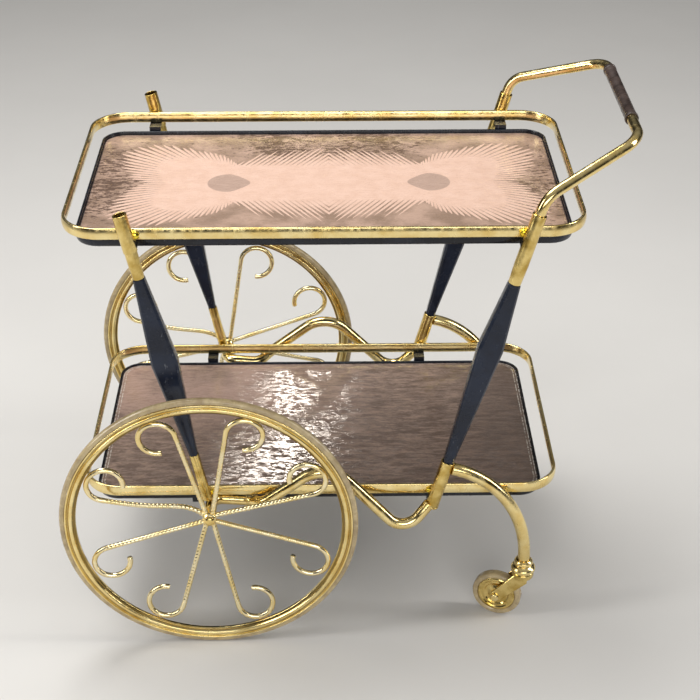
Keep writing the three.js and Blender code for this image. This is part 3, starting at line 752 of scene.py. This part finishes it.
def spindle(leg, joints, shape, s):
    """A flat blade that swells from each end to its widest place, with bevelled edges and round tenons."""
    foot = leg_point(leg, joints["spindle_foot"], s)
    up = leg_axis(leg)
    side = up.cross(ACROSS)
    length = (leg_point(leg, joints["spindle_top"], s) - foot).length
    middle = (leg_point(leg, joints["widest"], s) - foot).length
    foot_section, widest, head_section = shape["sections"]
    base, top = PANEL_GAP, length - PANEL_GAP
    foot_half, head_half = foot_section[0] / 2, head_section[0] / 2
    corners = [(foot_half, base), (widest[0] / 2, middle), (head_half, top)]
    outline = eased(corners, 0.022, closed=False, step=2)

    def ring(half_width, height, inset=0.0):
        """A bevelled section, as the same number of points everywhere. Its thickness follows its height."""
        end, share = head_section, (length - height) / (length - middle)
        if height < middle:
            end, share = foot_section, height / middle
        half_thick = (end[1] + (widest[1] - end[1]) * share) / 2
        w, t, b = half_width - inset, half_thick - inset, end[2] + (widest[2] - end[2]) * share
        half = [(w, -t + b), (w, t - b), (w - b, t), (-w + b, t)]
        section = eased(half + [(-u, -v) for u, v in half], 0.0007, step=20)
        return [foot + up * height + side * u + ACROSS * v for u, v in section]

    def circle(height, radius, like):
        """A tenon's section, with a point for each of the blade's."""
        at = foot + up * height
        return [at + (p - at - up * (p - at).dot(up)).normalized() * radius for p in like]

    foot_ring, head_ring = ring(foot_half, base), ring(head_half, top)
    foot_tenon, head_tenon = shape["tenons"]
    rings = [circle(-TENON_LENGTH, foot_tenon, foot_ring), circle(base, foot_tenon, foot_ring)]
    rings.append(ring(foot_half, base, 0.0005))
    for k, (half_width, height) in enumerate(outline):
        lift = 0.0006 if k == 0 else -0.0006 if k == len(outline) - 1 else 0
        rings.append(ring(half_width, height + lift))
    rings.append(ring(head_half, top, 0.0005))
    rings += [circle(top, head_tenon, head_ring), circle(length + TENON_LENGTH, head_tenon, head_ring)]
    return shell(rings)


def braze(at, size, axis):
    """A lump of brazing metal where two brass pieces meet."""
    steps = 8
    profile = []
    for k in range(steps + 1):
        angle = math.pi * (0.04 + 0.92 * k / steps)
        profile.append((math.sin(angle), -math.cos(angle)))
    points, faces = turned(profile, Vector(), axis, 20)
    lumpy = []
    for point in points:
        swell = 1 + 0.10 * math.sin(9 * point.x + 5 * point.z) * math.cos(7 * point.y + 3 * point.x)
        lumpy.append(at + Vector((point.x * size[0], point.y * size[1], point.z * size[2])) * swell)
    return lumpy, faces


def make_legs(side, s):
    for leg_name, leg, joints, foot, blade, head, head_node in (
        ("wheel", WHEEL_LEG, WHEEL_LEG_JOINTS, WHEEL_LEG_FOOT, WHEEL_SPINDLE, WHEEL_LEG_HEAD, "upper_tube"),
        ("handle", HANDLE_LEG, HANDLE_LEG_JOINTS, LEG_TUBE, HANDLE_SPINDLE, HANDLE_SOCKET, "socket"),
    ):
        name = f"{side}_{leg_name}_leg_"
        lower = leg_tube(leg, joints["tube_foot"], joints["spindle_foot"], s, foot)
        piece(name + "foot_tube", [lower], WORN_AND_SHADED_BRASS, nodes=[name + "lower_tube"])
        wood = spindle(leg, joints, blade, s)
        piece(name + "blade", [wood], SPINDLE_LACQUER, nodes=[name + "spindle"], sharp=25)
        upper = leg_tube(leg, joints["spindle_top"], joints["top"], s, head)
        piece(name + "head_tube", [upper], WORN_AND_SHADED_BRASS, nodes=[name + head_node])

    sleeve = leg_tube(WHEEL_LEG, SLEEVE_Z, WHEEL_LEG_JOINTS["top"], s, SLEEVE)
    piece(side + "_wheel_leg_cuff", [sleeve], WORN_AND_SHADED_BRASS, nodes=[side + "_wheel_leg_sleeve"])
    refinish(side + "_wheel_leg_plug", PAN_LACQUER)
    refinish(side + "_wheel_leg_tab", BRASS)
    corners = [
        (0.0008, -0.005), (0.006, -0.0048), (0.0094, -0.0027), (0.0094, -0.0003), (0.007, -0.0003),
        (0.007, 0.008), (0.001, 0.008),
    ]
    profile = eased(corners, 0.0009, closed=False, step=18)
    foot = leg_point(HANDLE_LEG, HANDLE_LEG_JOINTS["tube_foot"], s)
    cap = turned(profile, foot, leg_axis(HANDLE_LEG), 40)
    piece(side + "_handle_leg_foot_cap", [cap], WORN_AND_SHADED_BRASS, nodes=[side + "_handle_leg_end_cap"])


def make_brazes(side, s):
    """The brazed joints of each leg to the two rails."""
    for leg_name, leg, inward in (("wheel", WHEEL_LEG, 1), ("handle", HANDLE_LEG, -1)):
        for tier in ("top", "bottom"):
            low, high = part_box(tier + "_rail")
            at = leg_point(leg, (low.z + high.z) / 2, s)
            thin = leg is WHEEL_LEG and tier == "bottom"
            at.x += inward * (0.0065 if thin else 0.009)
            at.y = s * (high.y + 0.0018)
            lump = braze(at, BRAZE_SIZE[tier], UP)
            piece(f"{side}_{leg_name}_leg_{tier}_braze", [lump], BRAZE)


# ---- Wave-shaped bars, caster arms and handle ----
def make_s_bar(side, s):
    """The bar starts at the wheel's axle and runs in under the rail. It rises into a hump, dips, and
    rises to the leg."""
    wheel_x, _, axle_z = wheel_centre(side)
    bar_end = HUB["y"] - HUB["length"] / 2 - 0.006
    corners = [
        (wheel_x, s * bar_end, axle_z), (wheel_x, s * 0.1845, axle_z - 0.001), (-0.128, s * 0.1845, 0.1945),
        (-0.108, s * 0.204, 0.204), (-0.021, s * 0.205, 0.2703), (0.0835, s * 0.214, 0.1584),
        (0.1215, s * 0.2035, 0.205),
    ]
    path = eased(corners, [0.018, 0.024, 0.030, 0.046, 0.031], closed=False, step=3)
    last_step = 0.84  # it stops inside the wall of the leg's tube
    path[-1] = path[-2].lerp(path[-1], last_step)
    bar = tube(path, S_BAR_RADIUS, 32, edge=0.0014)
    piece(side + "_wave_bar", [bar], BRASS, nodes=[side + "_s_bar"])
    refinish(side + "_stub_axle", BRASS)

    nut_face = HUB["y"] + HUB["length"] / 2 + 0.0006
    profile = eased(
        [(0.0048, nut_face), (0.0072, nut_face), (0.0072, nut_face + 0.0014), (0.0048, nut_face + 0.0034),
         (0.0006, nut_face + 0.0042)],
        [0.0003, 0.0008, 0.0025], closed=False, step=12,
    )
    origin = Vector((wheel_x, 0, axle_z))
    nut = turned([(0.0006, nut_face), *profile], origin, ACROSS * s, 40)
    piece(side + "_axle_dome_nut", [nut], BRASS, nodes=[side + "_axle_cap_nut"])


def bezier(points, steps):
    a, b, c, d = [Vector(p) for p in points]
    path = []
    for k in range(steps + 1):
        t = k / steps
        u = 1 - t
        path.append(a * u ** 3 + b * (3 * u * u * t) + c * (3 * u * t * t) + d * t ** 3)
    return path


def make_caster_arm(side, s):
    y = s * CASTER["y"]
    start = leg_point(HANDLE_LEG, ARM_ROOT_Z, s)
    start.y = y
    controls = [start, (0.202, y, 0.250), (CASTER["x"], y, 0.187), (CASTER["x"], y, 0.108)]
    path = bezier(controls, 44)[2:]  # it starts inside the wall of the leg's tube
    path.append(Vector((CASTER["x"], y, 0.094)))
    piece(side + "_caster_swan_arm", [tube(path, ARM_RADIUS, 32)], BRASS, nodes=[side + "_caster_arm"])
    refinish(side + "_arm_tab", BRASS)

    bore, sleeve = 0.0044, ARM_RADIUS + PANEL_GAP
    corners = [
        (bore, 0.084), (0.015, 0.084), (0.0172, 0.0862), (0.017, 0.0902), (0.0148, 0.0928),
        (0.0118, 0.0946), (0.0134, 0.0978), (0.0126, 0.1012), (0.0102, 0.1035), (sleeve, 0.1035),
        (sleeve, 0.0937), (bore, 0.0937),
    ]
    radii = [0.0004, 0.001, 0.0016, 0.0016, 0.001, 0.0009, 0.0016, 0.0014, 0.0008, 0.0004, 0.0003, 0.0003]
    socket = turned(eased(corners, radii, step=15), Vector((CASTER["x"], y, 0)), UP, 56, closed=True)
    piece(side + "_caster_ferrule", [socket], BRASS, nodes=[side + "_caster_socket"])


def make_handle():
    in_socket = 0.606

    def side_corners(s):
        """From the leg's socket to the bar that carries the grip."""
        ends = [leg_point(HANDLE_LEG, z, s) for z in (in_socket, HANDLE_CORNER["bend_z"])]
        return ends + [Vector((GRIP["x"], s * HANDLE_CORNER["y"], GRIP["z"]))]

    lower, upper = HANDLE_CORNER["lower"], HANDLE_CORNER["upper"]
    corners = side_corners(-1) + side_corners(1)[::-1]
    path = eased(corners, [lower, upper, upper, lower], closed=False, step=3)
    piece("push_handle", [tube(path, HANDLE_RADIUS, 32)], BRASS, nodes=["handle"])

    low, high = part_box("handle_grip")
    inner, outer = HANDLE_RADIUS + PANEL_GAP, (high.z - low.z) / 2
    length = high.y - low.y
    step_in = 0.0007
    band = 0.006
    corners = [
        (inner, 0), (outer, 0), (outer, band), (outer - step_in, band + step_in),
        (outer - step_in, length - band - step_in), (outer, length - band), (outer, length), (inner, length),
    ]
    radii = [0.0004, 0.0012, 0.0005, 0.0005, 0.0005, 0.0005, 0.0012, 0.0004]
    end = Vector((GRIP["x"], low.y, GRIP["z"]))
    sleeve = turned(eased(corners, radii, step=18), end, ACROSS, 48, closed=True)
    piece("handle_grip_sleeve", [sleeve], GRIP_SLEEVE, nodes=["handle_grip"])


# ---- Large wheels ----
def spoke_path(partner, opening, bellied):
    """A spoke in X and Z along its pair's axis: straight out of the hub, then an open scroll that meets
    the rim. A bellied wire bows out on the way, most of all a fifth of the way along."""
    lean = math.radians(opening)
    slope = math.tan(lean)
    scroll = SPOKE["scroll"]
    centre_radius = SPOKE["reach"] - SPOKE["radius"] - scroll
    rise = SPOKE["offset"] + scroll * math.cos(lean)
    rest = (scroll * math.sin(lean)) ** 2 + rise ** 2 - centre_radius ** 2
    square = 1 + slope ** 2
    crossing = slope * SPOKE["offset"]
    straight_to = (math.sqrt(crossing ** 2 - square * rest) - crossing) / square
    root = SPOKE["root"]
    start = Vector((root, 0, partner * (SPOKE["offset"] + root * slope)))
    turn_at = Vector((straight_to, 0, partner * (SPOKE["offset"] + straight_to * slope)))
    along = Vector((math.cos(lean), 0, partner * math.sin(lean)))
    inward = Vector((-along.z, 0, along.x)) * partner
    centre = turn_at + inward * scroll
    path = [start]
    for k in range(1, BELLY_STEPS if bellied else 1):
        share = k / BELLY_STEPS
        bow = BELLY * 5 ** 5 / 4 ** 4 * share * (1 - share) ** 4
        path.append(start.lerp(turn_at, share) + UP * partner * bow)
    for k in range(SCROLL_STEPS + 1):
        angle = math.radians(SPOKE["turn"]) * k / SCROLL_STEPS
        path.append(centre - inward * (scroll * math.cos(angle)) + along * (scroll * math.sin(angle)))
    return path


def make_wheel(side, s):
    centre = wheel_centre(side)
    _, tyre_half, outer = half_size(side + "_wheel_tyre")
    _, rim_half, rim_outer = half_size(side + "_wheel_rim")
    rim_inner = rim_outer - RIM_DEPTH
    body = side + "_wheel"
    base = rim_outer + PANEL_GAP

    tyre = mirrored([(outer, tyre_half / 2), (outer - 0.002, tyre_half), (base, tyre_half)])
    radii = [0.0004, *[0.002] * 4, 0.0004]
    band = turned(eased(tyre, radii, step=18), centre, ACROSS, 180, closed=True)
    piece(side + "_wheel_tyre_band", [band], TYRE, body, [side + "_wheel_tyre"])

    # On each side the rim has a lip that holds the tyre, a groove, a round bead, a groove and an inner bead.
    half = [
        (rim_outer, 0.0), (rim_outer, rim_half - 0.0013), (rim_outer - 0.0004, rim_half - 0.0002),
        (rim_outer - 0.0022, rim_half - 0.0002), (rim_outer - 0.0032, rim_half - 0.0026),
        (rim_outer - 0.0050, rim_half - 0.0026), (rim_outer - 0.0064, rim_half),
        (rim_outer - 0.0102, rim_half), (rim_outer - 0.0118, rim_half - 0.0030),
        (rim_inner + 0.0018, rim_half - 0.0030), (rim_inner, rim_half - 0.0046),
    ]
    corners = half + [(r, -y) for r, y in reversed(half[1:])]
    radii = [0, 0.0006, 0.0007, 0.0007, 0.0009, 0.0009, 0.0020, 0.0020, 0.0010, 0.0014, 0.0014]
    radii += list(reversed(radii[1:]))
    rim = turned(eased(corners, radii, step=15), centre, ACROSS, 200, closed=True)
    piece(side + "_wheel_rim_band", [rim], RIM_BRASS, body, [side + "_wheel_rim"])

    hub_centre = Vector((centre.x, s * HUB["y"], centre.z))
    turn = Matrix.Translation(hub_centre) @ Matrix.Rotation(-math.radians(WHEEL_TURN[side]), 4, "Y")
    dish = Matrix.Rotation(s * math.radians(SPOKE["dish"]), 4, "Z")
    scroll_length = math.radians(SPOKE["turn"]) * SPOKE["scroll"]
    parts = []
    for axis, opening, bellied in SPOKE_PAIRS:
        about = turn @ Matrix.Rotation(-math.radians(axis), 4, "Y") @ dish
        for partner in (-1, 1):
            path = resampled(spoke_path(partner, opening, partner == bellied), 0.00095)
            wire = tube(
                path, SPOKE["radius"] * TWIST["proud"], 14, edge=0.0009, twist=TWIST["pitch"],
                lobe=TWIST["lobe"], plain=scroll_length,
            )
            parts.append(placed(wire, about))
    half_hub, radius, bore = HUB["length"] / 2, HUB["radius"], AXLE_RADIUS + 0.0004
    hub = mirrored([(radius, half_hub - 0.0028), (radius - 0.002, half_hub), (bore, half_hub)])
    radii = [0.0003, 0.0012, 0.002, 0.002, 0.0012, 0.0003]
    parts.append(turned(eased(hub, radii, step=15), hub_centre, ACROSS, 48, closed=True))
    piece(side + "_wheel_scroll_spokes", parts, WIRE_BRASS, body, [side + "_wheel_spokes"])


# ---- Casters ----
def make_caster(side, s):
    """Built about the swivel axis with the wheel trailing along +X, then turned to its heading."""
    place = Matrix.Translation((CASTER["x"], s * CASTER["y"], 0))
    place = place @ Matrix.Rotation(math.radians(-s * CASTER["heading"]), 4, "Z")
    axle = Vector((CASTER["trail"], 0, CASTER["radius"]))
    fork_body, wheel_body = side + "_caster", side + "_caster_wheel"

    crown = eased(
        [(0.0008, 0.0700), (0.0090, 0.0702), (0.0153, 0.0750), (0.0155, 0.0818), (0.0140, 0.0837),
         (0.0040, 0.0837), (0.0040, 0.0932), (0.0008, 0.0932)],
        [0.003, 0.003, 0.0015, 0.0008, 0.0004, 0.0006], closed=False, step=15,
    )
    boss = 0.0085
    inner, thick = 0.010, 0.0026
    arc = []
    for k in range(25):
        angle = math.radians(220 + 180 * k / 24)
        arc.append(Vector((axle.x + boss * math.cos(angle), axle.z + boss * math.sin(angle))))
    cheek = [Vector((0.009, 0.080)), *eased([(-0.009, 0.080), (-0.009, 0.070)], 0, step=20), *arc]
    upright = Matrix.Rotation(math.radians(90), 4, "X")
    cheeks = []
    for y in (inner + thick, -inner):
        cheeks.append(placed(plate(cheek, thick, 0.0006), Matrix.Translation((0, y, 0)) @ upright))
    washers = []
    for y, way in ((inner + thick, 1), (-inner - thick, -1)):
        rim = eased([(0.0035, 0), (0.0078, 0), (0.0072, 0.0007), (0.0035, 0.0007)], 0.0002, step=30)
        washers.append(turned(rim, axle + ACROSS * (y - way * 0.0003), ACROSS * way, 32, closed=True))
    fork = [turned(crown, Vector(), UP, 48), *cheeks, *washers]
    strap = [placed(part, place) for part in fork]
    piece(side + "_caster_fork_strap", strap, WORN_AND_SHADED_BRASS, fork_body, [side + "_caster_fork"])

    shoulder = inner + thick + PANEL_GAP
    pin_half = [(0.003, shoulder), (0.006, shoulder), (0.006, shoulder + 0.0022), (0.0045, shoulder + 0.004),
                (0.0006, shoulder + 0.0034)]
    radii = [0.0008, 0.0012, *[0.0003] * 4, 0.0012, 0.0008]
    rivet = turned(eased(mirrored(pin_half), radii, closed=False, step=18), axle, ACROSS, 32)
    piece(side + "_caster_axle_rivet", [placed(rivet, place)], BRASS, fork_body, [side + "_caster_axle"])

    bore = 0.0034
    half_disc = [
        (0.027, 0.0058), (0.0255, 0.0066), (0.0235, 0.0066), (0.0215, 0.0050), (0.0185, 0.0056),
        (0.0165, 0.0036), (0.0130, 0.0028), (0.0100, 0.0044), (0.0080, 0.0052), (0.0070, 0.0085),
        (bore, 0.0085),
    ]
    web = turned(eased(mirrored(half_disc), 0.0008, step=20), axle, ACROSS, 72, closed=True)
    piece(side + "_caster_wheel_disc", [placed(web, place)], WORN_AND_SHADED_BRASS, wheel_body, [side + "_caster_disc"])

    outer = CASTER["radius"]
    base = 0.0273
    tyre = mirrored([(outer, 0.0040), (0.0335, 0.0068), (0.0300, 0.0075), (base, 0.006)])
    radii = [0.0004, *[0.002] * 6, 0.0004]
    band = turned(eased(tyre, radii, step=15), axle, ACROSS, 96, closed=True)
    piece(side + "_caster_tyre_band", [placed(band, place)], TYRE, wheel_body, [side + "_caster_tyre"])


# ---- Studio ----
def soft_light(name, location, target, size, power, tint=(1, 1, 1)):
    lamp = bpy.data.lights.new(name, "AREA")
    lamp.shape = "RECTANGLE"
    lamp.size, lamp.size_y = size
    lamp.energy = power
    lamp.color = tint
    holder = new_object(name, lamp)
    holder.location = location
    holder.rotation_euler = (Vector(target) - Vector(location)).to_track_quat("-Z", "Y").to_euler()
    return holder


def make_studio():
    size = 6.0
    corners = [Vector((x * size, y * size, 0)) for x, y in ((-1, -1), (1, -1), (1, 1), (-1, 1))]
    mesh = bpy.data.meshes.new("studio_floor")
    mesh.from_pydata(corners, [], [(0, 1, 2, 3)])
    floor = new_object("studio_floor", mesh)
    n = Nodes("studio_floor")
    tone = n.mix(n.noise(3, 3), colour(214, 211, 206), colour(222, 219, 214))
    mesh.materials.append(n.finish(Base_Color=tone, Roughness=0.8))

    world = bpy.data.worlds.new("studio")
    world.use_nodes = True
    tree = world.node_tree
    background = tree.nodes["Background"]
    split = tree.nodes.new("ShaderNodeSeparateXYZ")
    tree.links.new(tree.nodes.new("ShaderNodeTexCoord").outputs["Generated"], split.inputs[0])
    ramp = tree.nodes.new("ShaderNodeValToRGB")
    for element, (position, tone) in zip(ramp.color_ramp.elements, ((0.30, 0.05), (0.95, 0.85))):
        element.position = position
        element.color = (tone, tone, tone, 1)
    tree.links.new(split.outputs[2], ramp.inputs[0])
    tree.links.new(ramp.outputs[0], background.inputs[0])
    background.inputs[1].default_value = 0.50
    bpy.context.scene.world = world

    soft_light("key_softbox", (-0.7, 0.8, 2.7), (0, 0, 0.30), (1.5, 1.0), 46)
    soft_light("front_softbox", (0.2, -2.9, 1.35), (0, 0, 0.45), (2.2, 0.9), 34)
    soft_light("left_strip", (-2.3, -0.8, 1.5), (0, 0, 0.4), (0.5, 1.8), 26)
    soft_light("right_strip", (2.3, -0.3, 1.6), (0, 0, 0.4), (0.4, 1.8), 26)
    warm = (1.0, 0.90, 0.80)
    back = soft_light("back_window", (-0.15, 2.0, 1.58), (-0.07, -0.04, 0.2), (0.11, 0.85), 9, warm)
    back.rotation_euler.rotate_axis("Z", math.radians(-19))
    lit = bpy.data.collections.new("lit_by_back_window")
    lit.objects.link(bpy.data.objects["bottom_tray_panel_sheet"])
    back.light_linking.receiver_collection = lit
    back.light_linking.blocker_collection = lit


def make_camera():
    camera = bpy.data.cameras.new("camera")
    camera.lens = 79.71
    camera.sensor_width = 36
    holder = new_object("camera", camera)
    holder.location = (-0.01627, -1.91759, 1.46074)
    holder.rotation_euler = (math.radians(59.34), 0, math.radians(-0.86))
    bpy.context.scene.camera = holder


make_camera()
for tier in ("top", "bottom"):
    make_rail(tier)
    make_pan(tier)
for side, s in SIDES:
    make_legs(side, s)
    make_brazes(side, s)
    make_s_bar(side, s)
    make_caster_arm(side, s)
    make_wheel(side, s)
    make_caster(side, s)
make_handle()
make_studio()
bpy.context.scene.view_settings.view_transform = "Standard"
